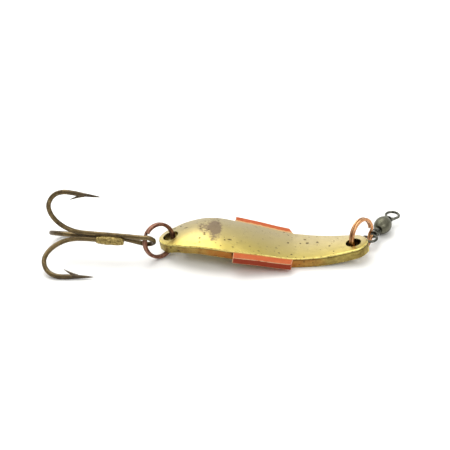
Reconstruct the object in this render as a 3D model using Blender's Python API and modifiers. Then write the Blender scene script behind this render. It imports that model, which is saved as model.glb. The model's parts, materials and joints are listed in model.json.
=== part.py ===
"""Casting spoon lure: an S-bent brass spoon, two split rings, a treble hook and a barrel swivel.

Row frame: +X towards the nose, +Z up, the lure lying on a surface at z = 0.
Run with: blender --background --python part.py
"""

import math

import bmesh
import bpy
from mathutils import Matrix, Vector

MM = 0.001

# Spoon body
BODY_TAIL_X = -31.6 * MM
BODY_NOSE_X = 31.0 * MM
BODY_THICKNESS = 3.2 * MM
BODY_ROWS = 56
BODY_COLUMNS = 10
ROW_CROWDING = 0.35
EDGE_BEVEL = 0.35 * MM
TAIL_ROUND = 3.6 * MM
NOSE_ROUND = 3.8 * MM
BLUNT_SHARE = 0.3
CROWN_HEIGHT = 1.1 * MM
CROWN_NOSE_X = 4 * MM
CROWN_NOSE_FADE = 14 * MM
CROWN_TAIL_FADE = 11 * MM
HOLE_X = {"tail": -28.1 * MM, "nose": 26.7 * MM}
HOLE_RADIUS = {"tail": 2.35 * MM, "nose": 2.35 * MM}
HOLE_SIDES = 40

# x, half width and height of the upper edge at each station along the spoon, in mm
STATIONS = [
    (-31.6, 4.0, 4.9),
    (-28.0, 5.1, 5.65),
    (-24.0, 7.2, 6.6),
    (-18.6, 8.8, 7.3),
    (-14.0, 9.4, 7.1),
    (-9.0, 9.3, 6.3),
    (-2.0, 8.6, 5.15),
    (4.0, 8.0, 4.0),
    (8.2, 7.6, 3.28),
    (10.0, 7.4, 3.1),
    (13.6, 6.95, 3.1),
    (17.0, 6.5, 3.36),
    (21.0, 5.8, 3.85),
    (24.5, 5.2, 4.45),
    (28.0, 4.5, 5.15),
    (31.6, 3.9, 5.8),
]

# Side fins, part of the same forging
FIN_TAIL_X = -8.9 * MM
FIN_NOSE_X = 8.8 * MM
FIN_SLANT = 1.3 * MM
FIN_REACH = 3.0 * MM
FIN_ROOT = 2.2 * MM
FIN_THICKNESS = 1.9 * MM
FIN_DROP = 0.3 * MM
FIN_BEVEL = 0.18 * MM
FIN_ROWS = 14

# Split rings: two flat turns of flattened wire with one jog between them
RING_RADIUS = 4.95 * MM
RING_RADIAL = 1.05 * MM
RING_AXIAL = 0.72 * MM
RING_PITCH = 0.78 * MM
RING_END_GAP = math.radians(13)
RING_STEPS = 96
RING_CORNER_SHARE = 0.32
# side is the end of the spoon that a ring stands at, start turns its cut ends round,
# and shift moves its wire off the hole's middle
RINGS = {
    "tail": {
        "side": -1,
        "yaw": math.radians(37),
        "lean": math.radians(15),
        "height": 5.5 * MM,
        "start": math.radians(150),
        "shift": Vector((0.1, 0.4, 0)) * MM,
    },
    "nose": {
        "side": 1,
        "yaw": math.radians(54),
        "lean": math.radians(6),
        "height": 5.6 * MM,
        "start": math.radians(-8),
        "shift": Vector((-0.3, -0.5, 0)) * MM,
    },
}

# Treble hook
WIRE_RADIUS = 0.72 * MM
SHANK_OFFSET = 1.0 * MM
HOOK_ANGLES = {"upper": 90, "near": 210, "far": 330}
EYE_LOOP_RADIUS = 2.3 * MM
EYE_HANG = 3.4 * MM
EYE_PLANE_ANGLE = math.radians(126)
EYE_OPEN_ANGLE = math.radians(118)
EYE_RISE = math.radians(16)
EYE_STEPS = 20
TREBLE_PITCH = math.radians(2.87)
TREBLE_YAW = math.radians(-2)
# distance from the eye's outer end and distance from the shank's axis along one hook, in mm
HOOK_PROFILE = [
    (9.2, 1.0),
    (15.5, 1.0),
    (21.0, 1.0),
    (24.1, 1.25),
    (26.8, 2.1),
    (29.1, 3.5),
    (30.9, 5.3),
    (32.1, 7.4),
    (32.5, 9.6),
    (31.8, 11.9),
    (30.3, 13.6),
    (28.2, 14.4),
    (25.9, 14.4),
    (22.9, 14.1),
    (17.1, 13.7),
]
POINT_TAPER = 7.4 * MM
TAPER_POWER = 0.65
TIP_RADIUS_SHARE = 0.06
BARB_ROOT = (23.0, 14.0)
BARB_TIP = (26.2, 11.9)
BARB_ROOT_RADIUS = 0.62 * MM
BARB_TIP_RADIUS = 0.05 * MM
SINGLE_SHANK_START = 10.3 * MM
BRAZE_START = 9.6 * MM
BRAZE_END = 18.0 * MM
BRAZE_RADIUS = 1.36 * MM
BRAZE_GAP = 0.26 * MM
BRAZE_STEPS = 12
BRAZE_END_SHARE = 0.62
BRAZE_SWELL_POWER = 0.35
BARB_SIDES = 10
SHANK_CUTTER_SIDES = 20

# Barrel swivel: each eye is one wire, with a head inside the barrel and wraps round its own stem
SWIVEL_HEADING = math.radians(64)
SWIVEL_AXIS_HEIGHT = 2.66 * MM
SWIVEL_WIRE = 0.4 * MM
SWIVEL_HANG = 0.4 * MM
SWIVEL_LOOP = 2.0 * MM
SWIVEL_HEAD_SHARE = 2.3
SWIVEL_HEAD_LENGTH = 1.1 * MM
SWIVEL_HEAD_BACK = 0.55 * MM
SWIVEL_HEAD_NECK = 0.05 * MM
# share of the head's length and share of its full radius
SWIVEL_HEAD_PROFILE = [(0, 0.5), (0.12, 0.9), (0.35, 1), (0.75, 1), (1, 0.85)]
WRAP_CLEARANCE = 0.2 * MM
WRAP_START_ANGLE = math.radians(-80)
LOOP_NECK = 0.45 * MM
LOOP_STEPS = 26
LOOP_START_ANGLE = math.radians(215)
LOOP_TURN = math.radians(305)
STEM_END = 0.3 * MM
WRAP_RADIUS = 0.85 * MM
WRAP_PITCH = 0.86 * MM
WRAP_STEPS = 14
LURE_EYE = {"turns": 3, "play": 0.3 * MM}
LINE_EYE = {"turns": 1, "roll": math.radians(2)}
BARREL_BORE = 0.6 * MM
BARREL_HALF_LENGTH = 3.0 * MM
BARREL_STEPS = 32
# distance from the middle and radius, in mm
BARREL_OUTSIDE = [
    (BARREL_HALF_LENGTH / MM, 1.3),
    (2.75, 1.55),
    (2.3, 1.93),
    (1.6, 2.32),
    (0.8, 2.55),
    (0.0, 2.62),
]
BARREL_INSIDE = [(0.0, 2.1), (0.9, 2.0), (1.6, 1.7), (2.1, 1.2)]


def clear_scene():
    for obj in list(bpy.data.objects):
        bpy.data.objects.remove(obj)


def make_material(name, colour, metallic, roughness):
    material = bpy.data.materials.new(name)
    material.use_nodes = True
    shader = material.node_tree.nodes["Principled BSDF"]
    shader.inputs["Base Color"].default_value = (*colour, 1)
    shader.inputs["Metallic"].default_value = metallic
    shader.inputs["Roughness"].default_value = roughness
    return material


def make_collection(name, shown=True):
    collection = bpy.data.collections.new(name)
    bpy.context.scene.collection.children.link(collection)
    collection.hide_render = not shown
    return collection


def add_object(name, data, collection, material=None):
    obj = bpy.data.objects.new(name, data)
    collection.objects.link(obj)
    if material:
        obj.data.materials.append(material)
    return obj


def add_helper(name, mesh, cutters):
    """A cutter: shown as a wire frame and left out of the object."""
    obj = add_object(name, mesh, cutters)
    obj.hide_render = True
    obj.display_type = "WIRE"
    return obj


def smooth_round(mesh, angle=35):
    mesh.shade_smooth()
    mesh.set_sharp_from_angle(angle=math.radians(angle))


def curve_through(points, steps):
    """Points of a smooth Catmull-Rom curve that passes through every given point."""
    vectors = [Vector(p) for p in points]
    padded = [2 * vectors[0] - vectors[1], *vectors, 2 * vectors[-1] - vectors[-2]]
    result = []
    for before, start, end, after in zip(padded, padded[1:], padded[2:], padded[3:]):
        for step in range(steps):
            t = step / steps
            result.append(
                0.5
                * (
                    2 * start
                    + (end - before) * t
                    + (2 * before - 5 * start + 4 * end - after) * t**2
                    + (3 * start - before - 3 * end + after) * t**3
                )
            )
    result.append(vectors[-1])
    return result


def station_value(x, column):
    """Half width (column 1) or upper edge height (column 2) at x, by cubic Hermite between stations."""
    table = [[value * MM for value in row] for row in STATIONS]

    def slope(index):
        low, high = max(index - 1, 0), min(index + 1, len(table) - 1)
        return (table[high][column] - table[low][column]) / (table[high][0] - table[low][0])

    x = min(max(x, table[0][0]), table[-1][0])
    index = max(i for i in range(len(table) - 1) if table[i][0] <= x)
    start, end = table[index], table[index + 1]
    span = end[0] - start[0]
    t = (x - start[0]) / span
    return (
        (2 * t**3 - 3 * t**2 + 1) * start[column]
        + (t**3 - 2 * t**2 + t) * span * slope(index)
        + (3 * t**2 - 2 * t**3) * end[column]
        + (t**3 - t**2) * span * slope(index + 1)
    )


def half_width(x):
    """Half width with both ends rounded off."""
    tail = min((x - BODY_TAIL_X) / TAIL_ROUND, 1)
    nose = min((BODY_NOSE_X - x) / NOSE_ROUND, 1)
    ends = math.sqrt(max(1 - (1 - tail) ** 2, 0)) * math.sqrt(max(1 - (1 - nose) ** 2, 0))
    return station_value(x, 1) * max(ends, BLUNT_SHARE)


def edge_height(x):
    """Height of the upper edge. It never sinks below the thickness, which leaves a flat land on the belly."""
    return max(station_value(x, 2), BODY_THICKNESS)


def smooth_step(value):
    share = min(max(value, 0), 1)
    return share * share * (3 - 2 * share)


def crown(x):
    """Height of the spoon's middle above its edges: dished behind the fins, flat at both ends."""
    tail = smooth_step((x - BODY_TAIL_X) / CROWN_TAIL_FADE)
    return CROWN_HEIGHT * tail * smooth_step((CROWN_NOSE_X - x) / CROWN_NOSE_FADE)


def body_station(index):
    """x of one row of the sheet, with the rows closer together at the round ends."""
    share = index / BODY_ROWS
    eased = (1 - math.cos(math.pi * share)) / 2
    share = ROW_CROWDING * eased + (1 - ROW_CROWDING) * share
    return BODY_TAIL_X + (BODY_NOSE_X - BODY_TAIL_X) * share


def body_sheet():
    """The spoon's upper face as an open grid."""
    shape = bmesh.new()
    bmesh.ops.create_grid(shape, x_segments=BODY_ROWS, y_segments=BODY_COLUMNS, size=1)
    for vert in shape.verts:
        x = body_station((vert.co.x + 1) / 2 * BODY_ROWS)
        across = vert.co.y
        vert.co = (x, across * half_width(x), edge_height(x) + crown(x) * (1 - across**2))
    mesh = bpy.data.meshes.new("spoon_body")
    shape.to_mesh(mesh)
    shape.free()
    return mesh


def thicken(obj, thickness):
    solid = obj.modifiers.new("Thickness", "SOLIDIFY")
    solid.thickness = thickness
    solid.offset = -1
    solid.use_even_offset = True


def bevel(obj, width, segments):
    rounding = obj.modifiers.new("Bevel", "BEVEL")
    rounding.width = width
    rounding.segments = segments
    rounding.limit_method = "ANGLE"
    rounding.angle_limit = math.radians(50)


def fin_sheet(name, side):
    """The upper face of one fin. Its root lies inside the body, and its nose end is slanted."""
    shape = bmesh.new()
    bmesh.ops.create_grid(shape, x_segments=FIN_ROWS, y_segments=2, size=1)
    for vert in shape.verts:
        along, across = (vert.co.x + 1) / 2, (vert.co.y + 1) / 2
        nose_end = FIN_NOSE_X - FIN_SLANT * max(across * (FIN_ROOT + FIN_REACH) - FIN_ROOT, 0) / FIN_REACH
        x = FIN_TAIL_X + (nose_end - FIN_TAIL_X) * along
        y = half_width(x) - FIN_ROOT + (FIN_ROOT + FIN_REACH) * across
        vert.co = (x, side * y, edge_height(x) - FIN_DROP)
    if side < 0:
        bmesh.ops.reverse_faces(shape, faces=shape.faces)
    mesh = bpy.data.meshes.new(name)
    shape.to_mesh(mesh)
    shape.free()
    return mesh


def boolean(obj, tool, operation, solver="EXACT"):
    cut = obj.modifiers.new(operation.title(), "BOOLEAN")
    cut.operation = operation
    cut.object = tool
    cut.solver = solver


def hole_axis(end):
    """Centre of a hole at half the plate's thickness, and the plate's normal there."""
    x = HOLE_X[end]
    step = 0.5 * MM
    slope = (edge_height(x + step) + crown(x + step) - edge_height(x - step) - crown(x - step)) / (2 * step)
    normal = Vector((-slope, 0, 1)).normalized()
    top = Vector((x, 0, edge_height(x) + crown(x)))
    return top - normal * BODY_THICKNESS / 2, normal


def hole_cutter(end, cutters):
    centre, normal = hole_axis(end)
    shape = bmesh.new()
    bmesh.ops.create_cone(
        shape,
        cap_ends=True,
        segments=HOLE_SIDES,
        radius1=HOLE_RADIUS[end],
        radius2=HOLE_RADIUS[end],
        depth=BODY_THICKNESS * 3,
    )
    mesh = bpy.data.meshes.new(end + "_hole_cutter")
    shape.to_mesh(mesh)
    shape.free()
    cutter = add_helper(end + "_hole_cutter", mesh, cutters)
    cutter.location = centre
    cutter.rotation_mode = "QUATERNION"
    cutter.rotation_quaternion = normal.to_track_quat("Z", "Y")
    return cutter


def make_body(parts, cutters, material):
    body = add_object("spoon_body", body_sheet(), parts, material)
    thicken(body, BODY_THICKNESS)
    bevel(body, EDGE_BEVEL, 2)
    for name, side in (("near_fin", -1), ("far_fin", 1)):
        fin = add_helper(name, fin_sheet(name, side), cutters)
        thicken(fin, FIN_THICKNESS)
        bevel(fin, FIN_BEVEL, 1)
        boolean(body, fin, "UNION")
    for end in HOLE_X:
        # EXACT loses the body here; both meshes are closed, so MANIFOLD cuts them cleanly
        boolean(body, hole_cutter(end, cutters), "DIFFERENCE", "MANIFOLD")
    smooth_round(body.data, 40)
    return body


def wire_object(name, points, radius, collection, material, shares=None, resolution=3):
    """A round wire: a poly curve with filled caps. shares scales the radius at each point."""
    curve = bpy.data.curves.new(name, "CURVE")
    curve.dimensions = "3D"
    curve.bevel_depth = radius
    curve.bevel_resolution = resolution
    curve.use_fill_caps = True
    spline = curve.splines.new("POLY")
    spline.points.add(len(points) - 1)
    for index, (target, co) in enumerate(zip(spline.points, points)):
        target.co = (*co, 1)
        target.radius = shares[index] if shares else 1
    return add_object(name, curve, collection, material)


def wire_mesh(obj):
    """The wire as a welded mesh object that Boolean modifiers can take. The curve is removed."""
    name, collection, material = obj.name, obj.users_collection[0], obj.data.materials[0]
    matrix = obj.matrix_world.copy()
    mesh = bpy.data.meshes.new_from_object(obj.evaluated_get(bpy.context.evaluated_depsgraph_get()))
    shape = bmesh.new()
    shape.from_mesh(mesh)
    bmesh.ops.remove_doubles(shape, verts=shape.verts, dist=0.002 * MM)
    bmesh.ops.recalc_face_normals(shape, faces=shape.faces)
    shape.to_mesh(mesh)
    shape.free()
    bpy.data.objects.remove(obj)
    smooth_round(mesh)
    result = add_object(name, mesh, collection)
    result.data.materials.clear()
    result.data.materials.append(material)
    result.matrix_world = matrix
    return result


def ring_points():
    """Centreline of a split ring about its own Z axis: a flat turn, a jog, and a second flat turn."""
    start, end = RING_END_GAP, 4 * math.pi - RING_END_GAP
    points = []
    for step in range(RING_STEPS + 1):
        angle = start + (end - start) * step / RING_STEPS
        jog = min(max((angle - 2 * math.pi + RING_END_GAP) / (2 * RING_END_GAP), 0), 1)
        height = RING_PITCH * (jog * jog * (3 - 2 * jog) - 0.5)
        points.append((RING_RADIUS * math.cos(angle), RING_RADIUS * math.sin(angle), height))
    return points


def wire_section(name, width, height, cutters):
    """A rounded rectangle that the flattened wire of a split ring is drawn with."""
    corner = min(width, height) * RING_CORNER_SHARE
    curve = bpy.data.curves.new(name, "CURVE")
    curve.dimensions = "2D"
    spline = curve.splines.new("POLY")
    points = []
    for quarter in range(4):
        angle = math.pi / 2 * quarter
        centre = Vector(
            (
                math.copysign(width / 2 - corner, math.cos(angle + math.pi / 4)),
                math.copysign(height / 2 - corner, math.sin(angle + math.pi / 4)),
            )
        )
        for step in range(3):
            turn = angle + math.pi / 4 * step
            points.append(centre + corner * Vector((math.cos(turn), math.sin(turn))))
    spline.points.add(len(points) - 1)
    for target, co in zip(spline.points, points):
        target.co = (co.x, co.y, 0, 1)
    spline.use_cyclic_u = True
    section = add_object(name, curve, cutters)
    section.hide_render = True
    section.display_type = "WIRE"
    return section


def web_centre(end):
    """Middle of the metal between a hole and the spoon's end, which the ring swings round."""
    tip = {"tail": BODY_TAIL_X, "nose": BODY_NOSE_X}[end]
    x = (HOLE_X[end] + RINGS[end]["side"] * HOLE_RADIUS[end] + tip) / 2
    return Vector((x, 0, edge_height(x) + crown(x) - BODY_THICKNESS / 2))


def make_ring(end, parts, cutters, material):
    """A split ring through a hole of the spoon, with its centre and its own two in-plane directions."""
    settings = RINGS[end]
    yaw, lean, side = settings["yaw"], settings["lean"], settings["side"]
    pivot = hole_axis(end)[0] + settings["shift"]
    outward = Vector((math.cos(yaw), math.sin(yaw), 0)) * side
    upright = Matrix.Rotation(yaw, 3, "Z") @ Vector((0, math.sin(lean), math.cos(lean)))
    rise = (settings["height"] - pivot.z) / upright.z
    centre = pivot + outward * math.sqrt(RING_RADIUS**2 - rise**2) + upright * rise

    name = end + "_split_ring"
    curve = bpy.data.curves.new(name, "CURVE")
    curve.dimensions = "3D"
    curve.twist_mode = "Z_UP"
    curve.bevel_mode = "OBJECT"
    curve.bevel_object = wire_section(name + "_section", RING_RADIAL, RING_AXIAL, cutters)
    curve.use_fill_caps = True
    spline = curve.splines.new("POLY")
    points = ring_points()
    spline.points.add(len(points) - 1)
    for target, co in zip(spline.points, points):
        target.co = (*co, 1)
    ring = wire_mesh(add_object(name, curve, parts, material))
    across = outward * side
    axes = Matrix((across, upright, across.cross(upright))).transposed()
    placed = axes.to_4x4() @ Matrix.Rotation(settings["start"], 4, "Z")
    placed.translation = centre
    ring.matrix_world = placed
    return ring, centre, outward, upright


def radial(angle_degrees):
    """Direction away from the treble's shank axis. The treble's own -X runs from eye to bend."""
    angle = math.radians(angle_degrees)
    return Vector((0, math.cos(angle), math.sin(angle)))


def hook_points(angle_degrees, steps=4):
    outward = radial(angle_degrees)
    return [
        Vector((-along, 0, 0)) + outward * away
        for along, away, _ in curve_through([(a * MM, r * MM, 0) for a, r in HOOK_PROFILE], steps)
    ]


def point_shares(points):
    """Wire radius along a hook: full along the shank and bend, then down to a sharp tip."""
    shares = [1.0] * len(points)
    distance = 0
    for index in range(len(points) - 1, -1, -1):
        if index < len(points) - 1:
            distance += (points[index] - points[index + 1]).length
        share = min(distance / POINT_TAPER, 1)
        shares[index] = TIP_RADIUS_SHARE + (1 - TIP_RADIUS_SHARE) * share**TAPER_POWER
    return shares


def eye_points():
    """The treble's eye, from the upper shank round to the far shank."""
    across = Vector((0, math.cos(EYE_PLANE_ANGLE), math.sin(EYE_PLANE_ANGLE)))
    centre = Vector((-WIRE_RADIUS - EYE_LOOP_RADIUS, 0, 0))
    points = []
    for step in range(EYE_STEPS + 1):
        angle = EYE_OPEN_ANGLE * (1 - 2 * step / EYE_STEPS)
        along = Vector((math.cos(angle), 0, 0))
        points.append(centre + (along + across * math.sin(angle)) * EYE_LOOP_RADIUS)
    return points


def add_barb(hook, angle_degrees, cutters):
    """A slanted spike on the inner side of the point, joined to the wire."""
    outward = radial(angle_degrees)
    root = Vector((-BARB_ROOT[0] * MM, 0, 0)) + outward * BARB_ROOT[1] * MM
    tip = Vector((-BARB_TIP[0] * MM, 0, 0)) + outward * BARB_TIP[1] * MM
    direction = tip - root
    shape = bmesh.new()
    bmesh.ops.create_cone(
        shape,
        cap_ends=True,
        segments=BARB_SIDES,
        radius1=BARB_ROOT_RADIUS,
        radius2=BARB_TIP_RADIUS,
        depth=direction.length,
    )
    mesh = bpy.data.meshes.new("barb")
    shape.to_mesh(mesh)
    shape.free()
    barb = add_helper(f"{hook.name}_barb_{angle_degrees}", mesh, cutters)
    local = direction.to_track_quat("Z", "Y").to_matrix().to_4x4()
    local.translation = (root + tip) / 2
    barb.matrix_world = hook.matrix_world @ local
    boolean(hook, barb, "UNION")


def braze_points():
    """Centreline and wire shares of the filler round the single hook's shank, before the cuts."""
    profile = []
    for step in range(BRAZE_STEPS + 1):
        share = step / BRAZE_STEPS
        swell = math.sin(math.pi * share) ** BRAZE_SWELL_POWER if 0 < share < 1 else 0
        size = BRAZE_END_SHARE + (1 - BRAZE_END_SHARE) * swell
        profile.append((BRAZE_START + (BRAZE_END - BRAZE_START) * share, size))
    centre = radial(HOOK_ANGLES["near"]) * SHANK_OFFSET
    points = [Vector((-along, 0, 0)) + centre for along, _ in profile]
    return points, [size for _, size in profile]


def cylinder_cutter(name, start, end, radius, matrix, cutters):
    direction = end - start
    shape = bmesh.new()
    bmesh.ops.create_cone(
        shape,
        cap_ends=True,
        segments=SHANK_CUTTER_SIDES,
        radius1=radius,
        radius2=radius,
        depth=direction.length,
    )
    mesh = bpy.data.meshes.new(name)
    shape.to_mesh(mesh)
    shape.free()
    cutter = add_helper(name, mesh, cutters)
    local = direction.to_track_quat("Z", "Y").to_matrix().to_4x4()
    local.translation = (start + end) / 2
    cutter.matrix_world = matrix @ local
    return cutter


def make_treble(place, parts, cutters, wire_material, braze_material):
    """Twin hook bent from one wire with the eye, a single hook beside it, and the braze that holds it."""
    upper, far = hook_points(HOOK_ANGLES["upper"]), hook_points(HOOK_ANGLES["far"])
    joined = curve_through([upper[0], *eye_points()[::4], far[0]], 5)
    path = upper[:0:-1] + joined + far[1:]
    tapers = point_shares(upper)[:0:-1] + [1.0] * len(joined) + point_shares(far)[1:]
    twin = wire_object("treble_twin_hook", path, WIRE_RADIUS, parts, wire_material, tapers)
    twin.matrix_world = place
    twin = wire_mesh(twin)
    for name in ("upper", "far"):
        add_barb(twin, HOOK_ANGLES[name], cutters)

    near = [point for point in hook_points(HOOK_ANGLES["near"]) if -point.x > SINGLE_SHANK_START]
    start = Vector((-SINGLE_SHANK_START, 0, 0)) + radial(HOOK_ANGLES["near"]) * SHANK_OFFSET
    single = wire_object(
        "treble_single_hook", [start, *near], WIRE_RADIUS, parts, wire_material, [1.0, *point_shares(near)]
    )
    single.matrix_world = place
    single = wire_mesh(single)
    add_barb(single, HOOK_ANGLES["near"], cutters)

    points, shares = braze_points()
    braze = wire_object("treble_braze", points, BRAZE_RADIUS, parts, braze_material, shares, resolution=4)
    braze.matrix_world = place
    braze = wire_mesh(braze)
    for name, angle in HOOK_ANGLES.items():
        offset = radial(angle) * SHANK_OFFSET
        inner = SINGLE_SHANK_START - BRAZE_GAP if name == "near" else 0
        boolean(
            braze,
            cylinder_cutter(
                name + "_shank_cutter",
                Vector((-inner, 0, 0)) + offset,
                Vector((-BRAZE_END * 1.2, 0, 0)) + offset,
                WIRE_RADIUS + BRAZE_GAP,
                place,
                cutters,
            ),
            "DIFFERENCE",
        )
    return twin, single, braze


def swivel_eye(turns):
    """Centreline and wire shares of one eye along +X: head, stem, loop and the wraps back towards the barrel.

    The barrel's middle is at the origin, and the loop lies in the XY plane.
    """
    wraps_start = BARREL_HALF_LENGTH + SWIVEL_WIRE + WRAP_CLEARANCE
    wraps_end = wraps_start + turns * WRAP_PITCH
    centre = wraps_end + LOOP_NECK + SWIVEL_LOOP
    head_start = BARREL_INSIDE[-1][0] * MM - SWIVEL_HEAD_BACK - SWIVEL_HEAD_LENGTH
    points = []
    shares = []
    for along, share in SWIVEL_HEAD_PROFILE:
        points.append(Vector((head_start + SWIVEL_HEAD_LENGTH * along, 0, 0)))
        shares.append(SWIVEL_HEAD_SHARE * share)
    points.append(Vector((head_start + SWIVEL_HEAD_LENGTH + SWIVEL_HEAD_NECK, 0, 0)))
    shares.append(1)
    points.append(Vector((wraps_end - STEM_END, 0, 0)))
    shares.append(1)
    loop = []
    for step in range(LOOP_STEPS + 1):
        angle = LOOP_START_ANGLE - LOOP_TURN * step / LOOP_STEPS
        loop.append(Vector((centre + SWIVEL_LOOP * math.cos(angle), SWIVEL_LOOP * math.sin(angle), 0)))
    wraps = []
    for step in range(turns * WRAP_STEPS + 1):
        angle = WRAP_START_ANGLE - 2 * math.pi * step / WRAP_STEPS
        along = wraps_end - WRAP_PITCH * step / WRAP_STEPS
        wraps.append(Vector((along, WRAP_RADIUS * math.cos(angle), WRAP_RADIUS * math.sin(angle))))
    points += loop + wraps
    shares += [1] * (len(loop) + len(wraps))
    return points, shares, centre


def make_swivel(ring_wire, parts, material):
    """The swivel lies on the surface with its lure eye round the nose ring's wire."""
    points, shares, reach = swivel_eye(LURE_EYE["turns"])
    heading = Matrix.Rotation(SWIVEL_HEADING, 4, "Z")
    axis = heading.to_3x3() @ Vector((1, 0, 0))
    middle = ring_wire + axis * (SWIVEL_HANG + reach + LURE_EYE["play"])

    turned = heading @ Matrix.Rotation(math.pi, 4, "Z")
    lure_eye = wire_object("swivel_lure_eye", points, SWIVEL_WIRE, parts, material, shares)
    lure_eye.matrix_world = Matrix.Translation(middle - axis * LURE_EYE["play"]) @ turned
    lure_eye = wire_mesh(lure_eye)

    points, shares, _ = swivel_eye(LINE_EYE["turns"])
    line_eye = wire_object("swivel_line_eye", points, SWIVEL_WIRE, parts, material, shares)
    roll = Matrix.Rotation(LINE_EYE["roll"], 4, "X")
    line_eye.matrix_world = Matrix.Translation(middle) @ heading @ roll
    line_eye = wire_mesh(line_eye)

    barrel = make_barrel(parts, material)
    barrel.matrix_world = Matrix.Translation(middle) @ heading @ Matrix.Rotation(math.pi / 2, 4, "Y")
    return lure_eye, barrel, line_eye, middle, axis


def make_barrel(parts, material):
    """A hollow turned barrel about Z, open through a bore at each end."""
    half = [(radius, along) for along, radius in BARREL_OUTSIDE]
    bore = BARREL_BORE / MM
    half_inside = [(bore, BARREL_OUTSIDE[0][0]), (bore, BARREL_INSIDE[-1][0])]
    half_inside += [(radius, along) for along, radius in reversed(BARREL_INSIDE)]
    outline = half + [(radius, -along) for radius, along in reversed(half[:-1])]
    outline += [(radius, -along) for radius, along in half_inside]
    outline += list(reversed(half_inside[:-1]))
    shape = bmesh.new()
    verts = [shape.verts.new((r * MM, 0, z * MM)) for r, z in outline]
    for start, end in zip(verts, verts[1:] + verts[:1]):
        shape.edges.new((start, end))
    mesh = bpy.data.meshes.new("swivel_barrel")
    shape.to_mesh(mesh)
    shape.free()
    barrel = add_object("swivel_barrel", mesh, parts, material)
    turn = barrel.modifiers.new("Turned", "SCREW")
    turn.steps = BARREL_STEPS
    turn.render_steps = BARREL_STEPS
    turn.use_merge_vertices = True
    turn.merge_threshold = 0.00001
    turn.use_smooth_shade = True
    return barrel


def add_pivot(name, position, axis, pieces, collection, parent=None):
    """An empty whose Z is a joint's axis. It carries the moving pieces, and hangs on the pivot before it."""
    pivot = add_object(name, None, collection)
    pivot.empty_display_size = 3 * MM
    pivot.matrix_world = Matrix.Translation(position) @ axis.to_track_quat("Z", "Y").to_matrix().to_4x4()
    if parent:
        pivot.parent = parent
        pivot.matrix_parent_inverse = parent.matrix_world.inverted()
    for piece in pieces:
        piece.parent = pivot
        piece.matrix_parent_inverse = pivot.matrix_world.inverted()
    bpy.context.view_layer.update()
    return pivot


def stand_on_origin(parts):
    """Move everything so that the origin is at the middle of the lure's footprint, on the surface."""
    bpy.context.view_layer.update()
    depsgraph = bpy.context.evaluated_depsgraph_get()
    corners = []
    for obj in parts.objects:
        if obj.type == "MESH":
            evaluated = obj.evaluated_get(depsgraph)
            corners += [evaluated.matrix_world @ vert.co for vert in evaluated.data.vertices]
    low = Vector([min(corner[axis] for corner in corners) for axis in range(3)])
    high = Vector([max(corner[axis] for corner in corners) for axis in range(3)])
    shift = Vector((-(low.x + high.x) / 2, -(low.y + high.y) / 2, -low.z))
    for obj in bpy.data.objects:
        if not obj.parent:
            obj.matrix_world = Matrix.Translation(shift) @ obj.matrix_world


def main():
    clear_scene()
    bpy.context.scene.unit_settings.system = "METRIC"
    parts = make_collection("spoon_lure")
    cutters = make_collection("cutters", shown=False)
    brass = make_material("brass", (0.70, 0.56, 0.20), 1.0, 0.28)
    copper = make_material("copper", (0.56, 0.28, 0.16), 1.0, 0.35)
    bronze = make_material("bronzed_wire", (0.17, 0.13, 0.08), 1.0, 0.38)
    filler = make_material("braze", (0.55, 0.42, 0.18), 1.0, 0.5)
    black = make_material("black_nickel", (0.10, 0.10, 0.085), 1.0, 0.32)

    make_body(parts, cutters, brass)

    ring, centre, outward, upright = make_ring("tail", parts, cutters, copper)
    ring_pivot = add_pivot("tail_ring_pivot", web_centre("tail"), outward.cross(upright), [ring], parts)
    tail_wire = centre + (outward * math.cos(EYE_RISE) + upright * math.sin(EYE_RISE)) * RING_RADIUS
    tangent = upright * math.cos(EYE_RISE) - outward * math.sin(EYE_RISE)
    place = Matrix.Rotation(TREBLE_YAW, 4, "Z") @ Matrix.Rotation(TREBLE_PITCH, 4, "Y")
    place.translation = tail_wire + place.to_3x3() @ Vector((EYE_HANG, 0, 0))
    treble = make_treble(place, parts, cutters, bronze, filler)
    add_pivot("treble_pivot", tail_wire, tangent, treble, parts, ring_pivot)

    ring, centre, outward, upright = make_ring("nose", parts, cutters, copper)
    ring_pivot = add_pivot("nose_ring_pivot", web_centre("nose"), outward.cross(upright), [ring], parts)
    drop = (SWIVEL_AXIS_HEIGHT - centre.z) / upright.z
    along = math.sqrt(RING_RADIUS**2 - drop**2)
    nose_wire = centre + upright * drop + outward * along
    tangent = (upright * along - outward * drop).normalized()
    lure_eye, barrel, line_eye, middle, axis = make_swivel(nose_wire, parts, black)
    swivel_pivot = add_pivot("swivel_pivot", nose_wire, tangent, [lure_eye], parts, ring_pivot)
    barrel_pivot = add_pivot("barrel_pivot", middle, axis, [barrel], parts, swivel_pivot)
    add_pivot("line_eye_pivot", middle, axis, [line_eye], parts, barrel_pivot)

    stand_on_origin(parts)


main()
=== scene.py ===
import json
import math

import bmesh
import bpy
from mathutils import Matrix, Vector, noise


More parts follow.
